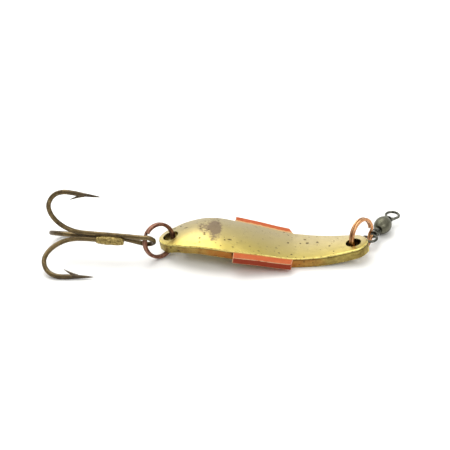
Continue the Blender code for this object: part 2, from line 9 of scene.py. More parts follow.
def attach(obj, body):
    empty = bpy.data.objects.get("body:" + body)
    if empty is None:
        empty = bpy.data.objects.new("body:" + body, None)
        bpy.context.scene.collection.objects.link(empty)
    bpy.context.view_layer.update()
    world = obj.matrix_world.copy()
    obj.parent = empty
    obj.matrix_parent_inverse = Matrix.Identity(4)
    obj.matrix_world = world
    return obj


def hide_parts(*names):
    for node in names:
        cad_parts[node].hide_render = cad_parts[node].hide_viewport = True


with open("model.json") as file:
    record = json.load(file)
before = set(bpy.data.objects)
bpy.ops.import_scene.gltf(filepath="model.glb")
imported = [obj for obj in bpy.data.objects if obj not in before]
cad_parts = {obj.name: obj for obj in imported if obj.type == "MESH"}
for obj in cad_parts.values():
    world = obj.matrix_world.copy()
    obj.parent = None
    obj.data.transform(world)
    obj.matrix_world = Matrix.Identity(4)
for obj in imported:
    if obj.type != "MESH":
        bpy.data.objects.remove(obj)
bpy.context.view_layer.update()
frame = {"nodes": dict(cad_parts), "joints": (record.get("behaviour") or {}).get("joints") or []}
mm = 0.001
joints = {joint["name"]: joint for joint in frame["joints"]}
print("frame loaded:", len(frame["nodes"]), "nodes")


def smoothStep(value):
    share = min(max(value, 0), 1)
    return share * share * (3 - 2 * share)


def linked(name, data):
    item = bpy.data.objects.new(name, data)
    bpy.context.scene.collection.objects.link(item)
    return item


def finishMesh(shape, name):
    # Turns a bmesh into a mesh with its faces the right way out
    bmesh.ops.recalc_face_normals(shape, faces=shape.faces)
    return asMesh(shape, name)


def asMesh(shape, name):
    mesh = bpy.data.meshes.new(name)
    shape.to_mesh(mesh)
    shape.free()
    return mesh


def bridge(shape, near, far):
    # One band of faces between two closed rings of vertices
    for corner in range(len(near)):
        after = (corner + 1) % len(near)
        shape.faces.new((near[corner], near[after], far[after], far[corner]))


def mark(mesh, name, values):
    # A number at every vertex, which the materials read
    mesh.attributes.new(name, "FLOAT", "POINT").data.foreach_set("value", values)


def addPiece(name, mesh, body, material, place, replaced=()):
    piece = linked(name, mesh)
    mesh.materials.clear()
    mesh.materials.append(material)
    piece.matrix_world = place
    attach(piece, body)
    if replaced:
        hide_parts(*replaced)
    return piece


def shadeSmooth(mesh, degrees=40):
    mesh.shade_smooth()
    mesh.set_sharp_from_angle(angle=math.radians(degrees))


def closeRings(shape, rings):
    # Bands of faces along a row of rings, and a cap at each end
    for near, far in zip(rings, rings[1:]):
        bridge(shape, near, far)
    shape.faces.new(list(reversed(rings[0])))
    shape.faces.new(rings[-1])


def curveThrough(points, steps):
    # Catmull-Rom through every point; each point may have any number of values
    points = [Vector(point) for point in points]
    padded = [2 * points[0] - points[1], *points, 2 * points[-1] - points[-2]]
    result = []
    for before, start, end, after in zip(padded, padded[1:], padded[2:], padded[3:]):
        for step in range(steps):
            t = step / steps
            bend = 2 * before - 5 * start + 4 * end - after
            twist = 3 * start - before - 3 * end + after
            result.append(0.5 * (2 * start + (end - before) * t + bend * t**2 + twist * t**3))
    result.append(points[-1])
    return result


def sweepMesh(name, points, sections, upHints=None):
    # Sections (lists of 2D points) carried along a path and capped. An up hint keeps a flat wire flat
    shape = bmesh.new()
    across = None
    rings = []
    for index, point in enumerate(points):
        ahead = points[min(index + 1, len(points) - 1)]
        behind = points[max(index - 1, 0)]
        direction = (ahead - behind).normalized()
        if upHints:
            across = upHints[index].cross(direction).normalized()
        elif across is None:
            across = direction.orthogonal().normalized()
        else:
            across = (across - across.dot(direction) * direction).normalized()
        up = direction.cross(across)
        rings.append([shape.verts.new(point + across * a + up * b) for a, b in sections[index]])
    closeRings(shape, rings)
    mesh = finishMesh(shape, name)
    shadeSmooth(mesh, 50)
    return mesh


def roundSection(radius, sides):
    turns = [2 * math.pi * side / sides for side in range(sides)]
    return [(radius * math.cos(turn), radius * math.sin(turn)) for turn in turns]


def roundedBox(width, height, corner, cornerSteps=4):
    section = []
    for quarter in range(4):
        start = math.pi / 2 * quarter
        middle = start + math.pi / 4
        x = math.copysign(width / 2 - corner, math.cos(middle))
        y = math.copysign(height / 2 - corner, math.sin(middle))
        for step in range(cornerSteps + 1):
            turn = start + math.pi / 2 * step / cornerSteps
            section.append((x + corner * math.cos(turn), y + corner * math.sin(turn)))
    return section


def applyModifiers(piece, tools=()):
    # The piece's mesh with its modifiers applied; the piece and its cutters are then removed
    bpy.context.view_layer.update()
    evaluated = piece.evaluated_get(bpy.context.evaluated_depsgraph_get())
    mesh = bpy.data.meshes.new_from_object(evaluated)
    mesh.name = piece.name
    for used in [piece, *tools]:
        bpy.data.objects.remove(used)
    return mesh


def addBoolean(piece, tool, operation):
    change = piece.modifiers.new(tool.name, "BOOLEAN")
    change.operation = operation
    change.object = tool
    change.solver = "MANIFOLD"


def addBevel(piece, width, segments, degrees):
    rounding = piece.modifiers.new("Rounded edges", "BEVEL")
    rounding.width = width
    rounding.segments = segments
    rounding.limit_method = "ANGLE"
    rounding.angle_limit = math.radians(degrees)


def turnedMesh(name, profile, steps):
    # A closed outline of (radius, along) turned about Z
    shape = bmesh.new()
    columns = []
    for step in range(steps):
        turn = 2 * math.pi * step / steps
        columns.append(
            [shape.verts.new((r * math.cos(turn), r * math.sin(turn), z)) for r, z in profile]
        )
    for column in range(steps):
        near, far = columns[column], columns[(column + 1) % steps]
        for row in range(len(profile)):
            after = (row + 1) % len(profile)
            shape.faces.new((near[row], far[row], far[after], near[after]))
    mesh = finishMesh(shape, name)
    shadeSmooth(mesh, 35)
    return mesh


class Sheet:
    # A short way to write a node tree

    def __init__(self, tree):
        self.tree = tree

    def add(self, kind, values=(), **settings):
        node = self.tree.nodes.new(kind)
        for key, value in settings.items():
            setattr(node, key, value)
        for socket, value in dict(values).items():
            target = node.inputs[socket]
            if isinstance(value, bpy.types.NodeSocket):
                self.tree.links.new(value, target)
            else:
                target.default_value = value
        return node

    def join(self, output, target):
        self.tree.links.new(output, target)

    def math(self, operation, first, second=0.0, third=0.0, clamp=False):
        values = {0: first, 1: second, 2: third}
        return self.add("ShaderNodeMath", values, operation=operation, use_clamp=clamp).outputs[0]

    def mix(self, share, first, second):
        node = self.add("ShaderNodeMix", data_type="RGBA")
        for socket, value in ((0, share), (6, first), (7, second)):
            if isinstance(value, bpy.types.NodeSocket):
                self.tree.links.new(value, node.inputs[socket])
            elif socket == 0:
                node.inputs[0].default_value = value
            else:
                node.inputs[socket].default_value = (*value, 1)
        return node.outputs[2]

    def noise(self, vector, scale, detail=4.0, roughness=0.55, distortion=0.0):
        values = {
            "Vector": vector,
            "Scale": scale,
            "Detail": detail,
            "Roughness": roughness,
            "Distortion": distortion,
        }
        return self.add("ShaderNodeTexNoise", values).outputs["Fac"]

    def times(self, first, second):
        return self.math("MULTIPLY", first, second)

    def vector(self, operation, first, second=(0, 0, 0), output="Vector"):
        node = self.add("ShaderNodeVectorMath", {0: first, 1: second}, operation=operation)
        return node.outputs[output]

    def group(self, tree, values):
        return self.add("ShaderNodeGroup", values, node_tree=tree).outputs

    def read(self, name):
        # a number that the mesh carries at its vertices
        return self.add("ShaderNodeAttribute", attribute_name=name).outputs["Fac"]

    def bump(self, height, distance, strength=1.0):
        values = {"Height": height, "Distance": distance, "Strength": strength}
        return self.add("ShaderNodeBump", values).outputs["Normal"]

    def ramp(self, value, low, high, bottom=0.0, top=1.0):
        values = {0: value, 1: low, 2: high, 3: bottom, 4: top}
        return self.add("ShaderNodeMapRange", values, clamp=True).outputs[0]

    def place(self, vector, scale=(1, 1, 1), rotation=(0, 0, 0)):
        values = {"Vector": vector, "Rotation": rotation, "Scale": scale}
        return self.add("ShaderNodeMapping", values).outputs[0]


def newGroup(name, inputs, outputs):
    # inputs by name, each a number, a colour of four values, or None for a vector
    group = bpy.data.node_groups.new(name, "ShaderNodeTree")
    kinds = {type(None): "NodeSocketVector", float: "NodeSocketFloat", tuple: "NodeSocketColor"}
    for label, value in inputs.items():
        socket = group.interface.new_socket(name=label, in_out="INPUT", socket_type=kinds[type(value)])
        if value is not None:
            socket.default_value = value
    for label in outputs:
        kind = "NodeSocketColor" if label == "Color" else "NodeSocketFloat"
        group.interface.new_socket(name=label, in_out="OUTPUT", socket_type=kind)
    sheet = Sheet(group)
    return group, sheet, sheet.add("NodeGroupInput").outputs, sheet.add("NodeGroupOutput").inputs


def newMaterial(name):
    material = bpy.data.materials.new(name)
    material.use_nodes = True
    sheet = Sheet(material.node_tree)
    shader = material.node_tree.nodes["Principled BSDF"]
    coordinates = sheet.add("ShaderNodeTexCoord").outputs["Object"]
    return material, sheet, shader, coordinates


def makeScratchGroup():
    # Fine random scratches in three directions, as a mask from 0 to 1
    group, sheet, given, out = newGroup("Scratches", {"Vector": None, "Scale": 600.0}, ["Mask"])
    total = None
    for angle, stretch in ((0.35, 14), (1.25, 20), (-0.5, 26)):
        turned = sheet.place(given["Vector"], rotation=(0.2, 0.1, angle), scale=(1, stretch, stretch))
        lines = sheet.noise(turned, given["Scale"], 2.0, 0.5)
        mask = sheet.ramp(lines, 0.66, 0.74)
        total = mask if total is None else sheet.math("MAXIMUM", total, mask)
    patches = sheet.ramp(sheet.noise(given["Vector"], 180.0, 2.0), 0.42, 0.62)
    sheet.join(sheet.times(total, patches), out["Mask"])
    return group


def makePitGroup():
    # Small dark pits of mixed sizes: cells that pass a second noise
    inputs = {"Vector": None, "Scale": 700.0, "Size": 0.2, "Share": 0.5}
    group, sheet, given, out = newGroup("Pits", inputs, ["Mask"])
    values = {"Vector": given["Vector"], "Scale": given["Scale"], "Randomness": 1.0}
    cells = sheet.add("ShaderNodeTexVoronoi", values)
    draw = sheet.add("ShaderNodeSeparateColor", {0: cells.outputs["Color"]}).outputs[0]
    radius = sheet.times(given["Size"], sheet.math("SUBTRACT", draw, given["Share"]))
    inside = sheet.math("SUBTRACT", radius, cells.outputs["Distance"])
    sheet.join(sheet.ramp(inside, 0.0, 0.05), out["Mask"])
    return group


def makeWearGroup():
    # Where a finish has rubbed through: edges first, broken up by noise
    inputs = {"Vector": None, "Edge": 0.0, "Scale": 900.0, "Amount": 0.5}
    group, sheet, given, out = newGroup("Edge wear", inputs, ["Mask"])
    chips = sheet.math("SUBTRACT", sheet.noise(given["Vector"], given["Scale"], 5.0, 0.65), 0.5)
    lifted = sheet.math("MULTIPLY_ADD", chips, 1.6, given["Edge"])
    level = sheet.math("SUBTRACT", 1.0, given["Amount"])
    sheet.join(sheet.ramp(sheet.math("SUBTRACT", lifted, level), 0.0, 0.08), out["Mask"])
    return group


def makeTarnishGroup():
    # Two tones of one metal in soft blotches with finer mottling inside them
    clean, dull = (0.5, 0.5, 0.5, 1), (0.1, 0.1, 0.1, 1)
    inputs = {"Vector": None, "Clean": clean, "Dull": dull, "Scale": 250.0, "Amount": 0.5}
    group, sheet, given, out = newGroup("Tarnish", inputs, ["Color", "Mask"])
    blotches = sheet.noise(given["Vector"], given["Scale"], 3.0, 0.6, 0.4)
    mottle = sheet.noise(given["Vector"], sheet.times(given["Scale"], 6.0), 4.0, 0.7)
    mixed = sheet.math("MULTIPLY_ADD", mottle, 0.35, sheet.times(blotches, 0.65))
    level = sheet.math("ADD", mixed, sheet.math("SUBTRACT", given["Amount"], 0.5))
    mask = sheet.ramp(level, 0.36, 0.64)
    sheet.join(sheet.mix(mask, given["Clean"], given["Dull"]), out["Color"])
    sheet.join(mask, out["Mask"])
    return group


scratches = makeScratchGroup()
pits = makePitGroup()
edgeWear = makeWearGroup()
tarnish = makeTarnishGroup()
print("shader groups ready")


def markEdges(mesh, rounds, full):
    # How sharply the faces turn at each vertex, spread over its neighbours, as the attribute "edge"
    shape = bmesh.new()
    shape.from_mesh(mesh)
    shape.verts.ensure_lookup_table()
    values = []
    for vert in shape.verts:
        turn = 0
        for edge in vert.link_edges:
            if len(edge.link_faces) == 2 and edge.is_convex:
                turn = max(turn, math.degrees(edge.calc_face_angle(0)))
        values.append(min(turn / full, 1))
    links = [[edge.other_vert(vert).index for edge in vert.link_edges] for vert in shape.verts]
    for _ in range(rounds):
        values = [
            max(value * 0.9, sum(values[other] for other in near) / max(len(near), 1))
            for value, near in zip(values, links)
        ]
    shape.free()
    mark(mesh, "edge", values)


def roughen(mesh, size, depth, seed=0):
    # Moves the surface in and out a little, as a forging or a worn finish does
    offset = Vector((seed, seed * 0.37, seed * 0.71))
    normals = [vertex.normal.copy() for vertex in mesh.vertices]
    for vertex, normal in zip(mesh.vertices, normals):
        vertex.co += normal * noise.noise(vertex.co / size + offset) * depth


# The spoon: x, half width and height of the upper edge at each station, in mm
plate = {
    "tailX": -31.6 * mm,
    "noseX": 31.0 * mm,
    "thickness": 3.2 * mm,
    "softening": 0.22 * mm,
    "stations": [
        (-31.6, 4.0, 4.9),
        (-28.0, 5.1, 5.65),
        (-24.0, 7.2, 6.6),
        (-18.6, 8.8, 7.3),
        (-14.0, 9.4, 7.1),
        (-9.0, 9.3, 6.3),
        (-2.0, 8.6, 5.15),
        (4.0, 8.0, 4.0),
        (8.2, 7.6, 3.28),
        (10.0, 7.4, 3.1),
        (13.6, 6.95, 3.1),
        (17.0, 6.5, 3.36),
        (21.0, 5.8, 3.85),
        (24.5, 5.2, 4.45),
        (28.0, 4.5, 5.15),
        (31.6, 3.9, 5.8),
    ],
    "tailRound": 3.6 * mm,
    "noseRound": 3.8 * mm,
    "smallestEnd": 0.3,
    "crownHeight": 1.1 * mm,
    "crownNoseX": 4 * mm,
    "crownNoseFade": 14 * mm,
    "crownTailFade": 11 * mm,
    "holeX": {"tail": -28.1 * mm, "nose": 26.7 * mm},
    "holeRadius": 2.35 * mm,
    "holeRound": 0.14 * mm,
    "rimRound": 0.34 * mm,
    "grooveDepth": 0.58 * mm,
    "rows": 260,
    "columns": 64,
}


def stationValue(x, column):
    table = [[value * mm for value in row] for row in plate["stations"]]

    def slope(index):
        low, high = max(index - 1, 0), min(index + 1, len(table) - 1)
        return (table[high][column] - table[low][column]) / (table[high][0] - table[low][0])

    x = min(max(x, table[0][0]), table[-1][0])
    index = max(i for i in range(len(table) - 1) if table[i][0] <= x)
    start, end = table[index], table[index + 1]
    span = end[0] - start[0]
    t = (x - start[0]) / span
    value = (2 * t**3 - 3 * t**2 + 1) * start[column] + (3 * t**2 - 2 * t**3) * end[column]
    return value + span * ((t**3 - 2 * t**2 + t) * slope(index) + (t**3 - t**2) * slope(index + 1))


def halfWidth(x):
    tail = min(max((x - plate["tailX"]) / plate["tailRound"], 0), 1)
    nose = min(max((plate["noseX"] - x) / plate["noseRound"], 0), 1)
    ends = math.sqrt(1 - (1 - tail) ** 2) * math.sqrt(1 - (1 - nose) ** 2)
    return stationValue(x, 1) * max(ends, plate["smallestEnd"])


def edgeHeight(x):
    # never lower than the plate is thick, and blending softly into that
    above = stationValue(x, 2) - plate["thickness"]
    return plate["thickness"] + (above + math.hypot(above, plate["softening"])) / 2


def crownHeight(x):
    tail = smoothStep((x - plate["tailX"]) / plate["crownTailFade"])
    return plate["crownHeight"] * tail * smoothStep((plate["crownNoseX"] - x) / plate["crownNoseFade"])


def topPoint(x, y):
    across = min(abs(y) / halfWidth(x), 1)
    return Vector((x, y, edgeHeight(x) + crownHeight(x) * (1 - across**2)))


def topNormal(x, y):
    step = 0.2 * mm
    lengthwise = topPoint(x + step, y) - topPoint(x - step, y)
    widthwise = topPoint(x, y + step) - topPoint(x, y - step)
    return lengthwise.cross(widthwise).normalized()


def holeAxis(end):
    x = plate["holeX"][end]
    normal = topNormal(x, 0)
    return topPoint(x, 0) - normal * plate["thickness"] / 2, normal


def webCentre(end):
    side, tip = {"tail": (-1, plate["tailX"]), "nose": (1, plate["noseX"])}[end]
    x = (plate["holeX"][end] + side * plate["holeRadius"] + tip) / 2
    return topPoint(x, 0) - Vector((0, 0, plate["thickness"] / 2))


origin = Vector(joints["tail_ring_swing"]["pos_m"]) - webCentre("tail")
atOrigin = Matrix.Translation(origin)


def rimProfile():
    # (outwards, downwards) from the flat of the upper face: a round rim with a fine groove under it
    r, depth = plate["rimRound"], plate["thickness"]
    turns = [math.pi / 2 * step / 4 for step in range(1, 5)]
    profile = [(r * math.sin(turn), r * (1 - math.cos(turn))) for turn in turns]
    lip = [(0.30, 0.46), (0.22, 0.56), (0.23, 0.68), (0.29, 0.84), (0.33, 1.2), (0.34, 1.8), (0.34, 2.4)]
    profile += [(out * mm, down * mm) for out, down in lip]
    profile += [(r * math.cos(turn), depth - r * (1 - math.sin(turn))) for turn in [0, *turns]]
    return profile


def plateMesh():
    rows, columns = plate["rows"], plate["columns"]
    r = plate["rimRound"]
    stations = []
    for row in range(rows + 1):
        share = row / rows
        share = 0.5 * share + 0.25 * (1 - math.cos(math.pi * share))
        stations.append(plate["tailX"] + (plate["noseX"] - plate["tailX"]) * share)
    edges = {side: [Vector((x, side * halfWidth(x), 0)) for x in stations] for side in (-1, 1)}
    loop = [(-1, row) for row in range(rows + 1)] + [(1, row) for row in range(rows, -1, -1)]
    inset = {}
    for index, (side, row) in enumerate(loop):
        (sideBefore, rowBefore), (sideAfter, rowAfter) = loop[index - 1], loop[(index + 1) % len(loop)]
        before, after = edges[sideBefore][rowBefore], edges[sideAfter][rowAfter]
        direction = (after - before).normalized()
        inset[(side, row)] = edges[side][row] - Vector((direction.y, -direction.x, 0)) * r
    shape = bmesh.new()
    faces = {}
    for level in ("top", "bottom"):
        grid = []
        for row in range(rows + 1):
            near, far = inset[(-1, row)], inset[(1, row)]
            line = []
            for column in range(columns + 1):
                flat = near.lerp(far, 0.5 - 0.5 * math.cos(math.pi * column / columns))
                point = topPoint(flat.x, flat.y)
                if level == "bottom":
                    point -= topNormal(flat.x, flat.y) * plate["thickness"]
                line.append(shape.verts.new(point))
            grid.append(line)
        faces[level] = grid
        for near, far in zip(grid, grid[1:]):
            for column in range(columns):
                shape.faces.new((near[column], near[column + 1], far[column + 1], far[column]))

    def border(grid):
        line = [grid[row][0] for row in range(rows)] + [grid[rows][column] for column in range(columns)]
        line += [grid[row][columns] for row in range(rows, 0, -1)]
        return line + [grid[0][column] for column in range(columns, 0, -1)]

    start, end = border(faces["top"]), border(faces["bottom"])
    flat = [Vector((vert.co.x, vert.co.y, 0)) for vert in start]
    before = start
    levels = rimProfile()
    for out, down in levels[:-1]:
        line = []
        for index, vert in enumerate(start):
            ahead, behind = flat[(index + 1) % len(flat)], flat[index - 1]
            direction = (ahead - behind).normalized()
            normal = topNormal(vert.co.x, vert.co.y)
            outward = Vector((direction.y, -direction.x, 0))
            outward = (outward - normal * outward.dot(normal)).normalized()
            line.append(shape.verts.new(vert.co + outward * out - normal * down))
        bridge(shape, before, line)
        before = line
    bridge(shape, before, end)
    return finishMesh(shape, "spoonPlate")


def holeTool(end):
    centre, normal = holeAxis(end)
    shape = bmesh.new()
    bmesh.ops.create_cone(
        shape,
        cap_ends=True,
        segments=96,
        radius1=plate["holeRadius"],
        radius2=plate["holeRadius"],
        depth=plate["thickness"] * 3,
    )
    tool = linked("holeTool", asMesh(shape, "holeTool"))
    tool.matrix_world = Matrix.Translation(centre) @ normal.to_track_quat("Z", "Y").to_matrix().to_4x4()
    return tool


def makePlate(material):
    piece = linked("spoonPlate", plateMesh())
    tools = [holeTool(end) for end in plate["holeX"]]
    for tool in tools:
        addBoolean(piece, tool, "DIFFERENCE")
    addBevel(piece, plate["holeRound"], 3, 55)
    finished = applyModifiers(piece, tools)
    roughen(finished, 3.5 * mm, 0.022 * mm, 4)
    roughen(finished, 1.1 * mm, 0.007 * mm, 9)
    shadeSmooth(finished, 40)
    markEdges(finished, 4, 30)
    # how far across and how high on the side a vertex lies, for the colours
    marks = {"across": [], "top": [], "side": [], "dirtAndShade": []}
    axes = [holeAxis(end) for end in plate["holeX"]]
    for vertex in finished.vertices:
        x, y, z = vertex.co
        onSide = smoothStep((0.8 - abs(vertex.normal.z)) / 0.5)
        below = edgeHeight(x) - z
        # the groove under the rim is darkened, and the hole walls get painted shade, in one mark
        groove = onSide * smoothStep(1 - abs(below - plate["grooveDepth"]) / (0.24 * mm))
        wall = 0
        for centre, normal in axes:
            away = vertex.co - centre
            away -= normal * away.dot(normal)
            if away.length < plate["holeRadius"] + 0.1 * mm:
                wall = max(wall, smoothStep((0.95 - abs(vertex.normal.dot(normal))) / 0.5))
        marks["across"].append(y / halfWidth(x))
        marks["top"].append(smoothStep((vertex.normal.z - 0.35) / 0.5))
        marks["side"].append(onSide)
        marks["dirtAndShade"].append(max(groove * 0.85, wall))
    for name, values in marks.items():
        mark(finished, name, values)
    addPiece("spoonPlate", finished, "spoon", material, atOrigin, ["spoon_body"])


# The two painted fins, forged in one with the spoon
fin = {
    "tailX": -8.9 * mm,
    "noseX": 8.8 * mm,
    "slant": {-1: 0.4 * mm, 1: 1.4 * mm},
    "reach": 3.0 * mm,
    "root": 2.2 * mm,
    "thickness": 1.9 * mm,
    "drop": 0.3 * mm,
    "round": 0.2 * mm,
    "bareRoot": {-1: 0.35 * mm, 1: 2.4 * mm},
    "rows": 90,
    "columns": 24,
}


def finMesh(side):
    shape = bmesh.new()
    bmesh.ops.create_grid(shape, x_segments=fin["rows"], y_segments=fin["columns"], size=1)
    width = fin["root"] + fin["reach"]
    for vert in shape.verts:
        along, across = (vert.co.x + 1) / 2, (vert.co.y + 1) / 2
        beyond = max(across * width - fin["root"], 0) / fin["reach"]
        noseEnd = fin["noseX"] - fin["slant"][side] * beyond
        x = fin["tailX"] + (noseEnd - fin["tailX"]) * along
        y = halfWidth(x) - fin["root"] + width * across
        vert.co = (x, side * y, edgeHeight(x) - fin["drop"])
    if side < 0:
        bmesh.ops.reverse_faces(shape, faces=shape.faces)
    return asMesh(shape, "fin")


def makeFin(name, side, material):
    piece = linked(name, finMesh(side))
    solid = piece.modifiers.new("Thickness", "SOLIDIFY")
    solid.thickness = fin["thickness"]
    solid.offset = -1
    solid.use_even_offset = True
    addBevel(piece, fin["round"], 4, 50)
    finished = applyModifiers(piece)
    # more rows on the faces that are one strip tall, so that the worn edges stay narrow
    shape = bmesh.new()
    shape.from_mesh(finished)
    tall = [edge for edge in shape.edges if edge.calc_length() > 0.6 * mm]
    bmesh.ops.subdivide_edges(shape, edges=tall, cuts=9, use_grid_fill=True)
    shape.to_mesh(finished)
    shape.free()
    roughen(finished, 1.6 * mm, 0.03 * mm, side * 3)
    shadeSmooth(finished, 40)
    markEdges(finished, 1, 25)
    roots = []
    for vertex in finished.vertices:
        beyond = abs(vertex.co.y) - halfWidth(vertex.co.x)
        roots.append(smoothStep(1 - beyond / fin["bareRoot"][side]) if vertex.normal.z > 0.5 else 0)
    # the upright outer faces, which the paint colours darker as painted shade
    outer = [smoothStep((abs(vertex.normal.y) - 0.5) / 0.3) for vertex in finished.vertices]
    mark(finished, "root", roots)
    mark(finished, "outer", outer)
    addPiece(name, finished, "spoon", material, atOrigin)


# Split rings: two flat turns of flattened wire with a jog between them
ringWire = {
    "radius": 4.95 * mm,
    "radial": 1.05 * mm,
    "axial": 0.72 * mm,
    "pitch": 0.78 * mm,
    "endGap": math.radians(13),
    "corner": 0.3 * mm,
    "steps": 420,
}
ringPlaces = {
    "tail": {
        "side": -1,
        "yaw": math.radians(37),
        "lean": math.radians(15),
        "height": 5.5 * mm,
        "start": math.radians(150),
        "shift": Vector((0.1, 0.4, 0)) * mm,
    },
    "nose": {
        "side": 1,
        "yaw": math.radians(54),
        "lean": math.radians(6),
        "height": 5.6 * mm,
        "start": math.radians(-8),
        "shift": Vector((-0.3, -0.5, 0)) * mm,
    },
}


def ringFrame(end):
    # The ring's middle and two directions in its plane, measured from the spoon's own origin
    place = ringPlaces[end]
    pivot = holeAxis(end)[0] + place["shift"]
    outward = Vector((math.cos(place["yaw"]), math.sin(place["yaw"]), 0)) * place["side"]
    leaning = Vector((0, math.sin(place["lean"]), math.cos(place["lean"])))
    upright = Matrix.Rotation(place["yaw"], 3, "Z") @ leaning
    rise = (place["height"] - pivot.z) / upright.z
    run = math.sqrt(ringWire["radius"] ** 2 - rise**2)
    return pivot + outward * run + upright * rise, outward, upright


def ringMesh(name):
    start, end = ringWire["endGap"], 4 * math.pi - ringWire["endGap"]
    points, sections = [], []
    section = roundedBox(ringWire["radial"], ringWire["axial"], ringWire["corner"])
    for step in range(ringWire["steps"] + 1):
        angle = start + (end - start) * step / ringWire["steps"]
        jog = (angle - 2 * math.pi + ringWire["endGap"]) / (2 * ringWire["endGap"])
        height = ringWire["pitch"] * (smoothStep(jog) - 0.5)
        radius = ringWire["radius"] * (1 + 0.0018 * math.sin(3.1 * angle + 0.6))
        points.append(Vector((radius * math.cos(angle), radius * math.sin(angle), height)))
        fromEnd = min(step, ringWire["steps"] - step)
        sections.append([Vector(point) * (1 - 0.07 * max(1 - fromEnd / 2, 0)) for point in section])
    mesh = sweepMesh(name, points, sections, [Vector((0, 0, 1))] * len(points))
    roughen(mesh, 0.9 * mm, 0.01 * mm, 2)
    markEdges(mesh, 1, 30)
    # the gap between the two turns, darkened in the colour as painted shade
    grooves = [smoothStep((0.24 * mm - abs(vertex.co.z)) / (0.14 * mm)) for vertex in mesh.vertices]
    mark(mesh, "groove", grooves)
    return mesh


def makeRing(end, material, body):
    centre, outward, upright = ringFrame(end)
    across = outward * ringPlaces[end]["side"]
    axes = Matrix((across, upright, across.cross(upright))).transposed().to_4x4()
    place = atOrigin @ Matrix.Translation(centre) @ axes
    place = place @ Matrix.Rotation(ringPlaces[end]["start"], 4, "Z")
    name = end + "SplitRing"
    addPiece(name, ringMesh(name), body, material, place, [end + "_split_ring"])


# Treble hook: (distance from the eye's outer end, distance from the shank's axis) along one hook, in mm
treble = {
    "wire": 0.72 * mm,
    "shankOffset": 1.0 * mm,
    "angles": {"upper": 90, "near": 210, "far": 330},
    "eyeRadius": 2.3 * mm,
    "eyeHang": 3.4 * mm,
    "eyePlane": math.radians(126),
    "eyeOpening": math.radians(118),
    "eyeRise": math.radians(16),
    "pitch": math.radians(2.87),
    "yaw": math.radians(-2),
    "profile": [
        (9.2, 1.0),
        (15.5, 1.0),
        (21.0, 1.0),
        (24.1, 1.25),
        (26.8, 2.1),
        (29.1, 3.5),
        (30.9, 5.3),
        (32.1, 7.4),
        (32.5, 9.6),
        (31.8, 11.9),
        (30.3, 13.6),
        (28.2, 14.4),
        (25.9, 14.4),
        (22.9, 14.1),
        (17.1, 13.7),
    ],
    "taper": 7.4 * mm,
    "taperPower": 0.65,
    "tipShare": 0.06,
    "barbRoot": (21.8, 13.95),
    "barbTip": (26.3, 11.95),
    "barbHeight": 0.62 * mm,
    "barbWidth": 0.5 * mm,
    "barbSteps": 12,
    "barbSides": 14,
    "pointsFrom": 10.5 * mm,
    "clearOfTip": 30 * mm,
    "singleStart": 10.3 * mm,
    "brazeStart": 9.6 * mm,
    "brazeEnd": 18.0 * mm,
    "brazeRadius": 1.36 * mm,
}


def awayFrom(angleDegrees):
    angle = math.radians(angleDegrees)
    return Vector((0, math.cos(angle), math.sin(angle)))


def hookPoints(angleDegrees, steps=9):
    outward = awayFrom(angleDegrees)
    flat = curveThrough([(along * mm, away * mm, 0) for along, away in treble["profile"]], steps)
    return [Vector((-along, 0, 0)) + outward * away for along, away, _ in flat]


def hookShares(points):
    # Share of the full wire at each point of a hook, down to its sharp tip
    distances = [0.0]
    for point, after in zip(points[-2::-1], points[:0:-1]):
        distances.append(distances[-1] + (point - after).length)
    distances.reverse()
    shares = []
    for distance in distances:
        share = min(distance / treble["taper"], 1)
        shares.append(treble["tipShare"] + (1 - treble["tipShare"]) * share ** treble["taperPower"])
    return shares


def eyePoints(steps=20):
    across = Vector((0, math.cos(treble["eyePlane"]), math.sin(treble["eyePlane"])))
    radius = treble["eyeRadius"]
    centre = Vector((-treble["wire"] - radius, 0, 0))
    points = []
    for step in range(steps + 1):
        angle = treble["eyeOpening"] * (1 - 2 * step / steps)
        along = Vector((radius * math.cos(angle), 0, 0))
        points.append(centre + along + across * radius * math.sin(angle))
    return points


def barbMesh(angleDegrees):
    # A curved sliver raised from the inner side of the point, thick at its root and sharp at its free end
    outward = awayFrom(angleDegrees)
    side = Vector((1, 0, 0)).cross(outward)
    (rootAlong, rootAway), (tipAlong, tipAway) = treble["barbRoot"], treble["barbTip"]
    shape = bmesh.new()
    steps, sides = treble["barbSteps"], treble["barbSides"]
    rings = []
    for step in range(steps + 1):
        share = step / steps
        along = rootAlong + (tipAlong - rootAlong) * share
        away = rootAway + (tipAway - rootAway) * (share**1.25)
        middle = Vector((-along * mm, 0, 0)) + outward * away * mm
        high = outward * (treble["barbHeight"] * (1 - share) ** 0.8 + 0.03 * mm)
        wide = side * (treble["barbWidth"] * (1 - share) ** 0.6 + 0.04 * mm)
        rings.append([shape.verts.new(middle + high * a + wide * b) for a, b in roundSection(1, sides)])
    closeRings(shape, rings)
    return finishMesh(shape, "barb")


def joinBarbs(mesh, angles):
    piece = linked("hook", mesh)
    tools = [linked("barb", barbMesh(angle)) for angle in angles]
    for tool in tools:
        addBoolean(piece, tool, "UNION")
    finished = applyModifiers(piece, tools)
    # how far each vertex lies from the tips, so that the points can be darker
    tip = treble["profile"][-1][0] * mm
    distances = []
    for vertex in finished.vertices:
        away = Vector((0, vertex.co.y, vertex.co.z)).length
        fromTip = -vertex.co.x - tip
        distances.append(fromTip if away > treble["pointsFrom"] else treble["clearOfTip"])
    mark(finished, "fromTip", distances)
    shadeSmooth(finished, 45)
    return finished


def wireSections(shares, sides=24):
    sections = []
    for index, share in enumerate(shares):
        uneven = 1 + 0.012 * math.sin(index * 0.7)
        sections.append(roundSection(treble["wire"] * share * uneven, sides))
    return sections


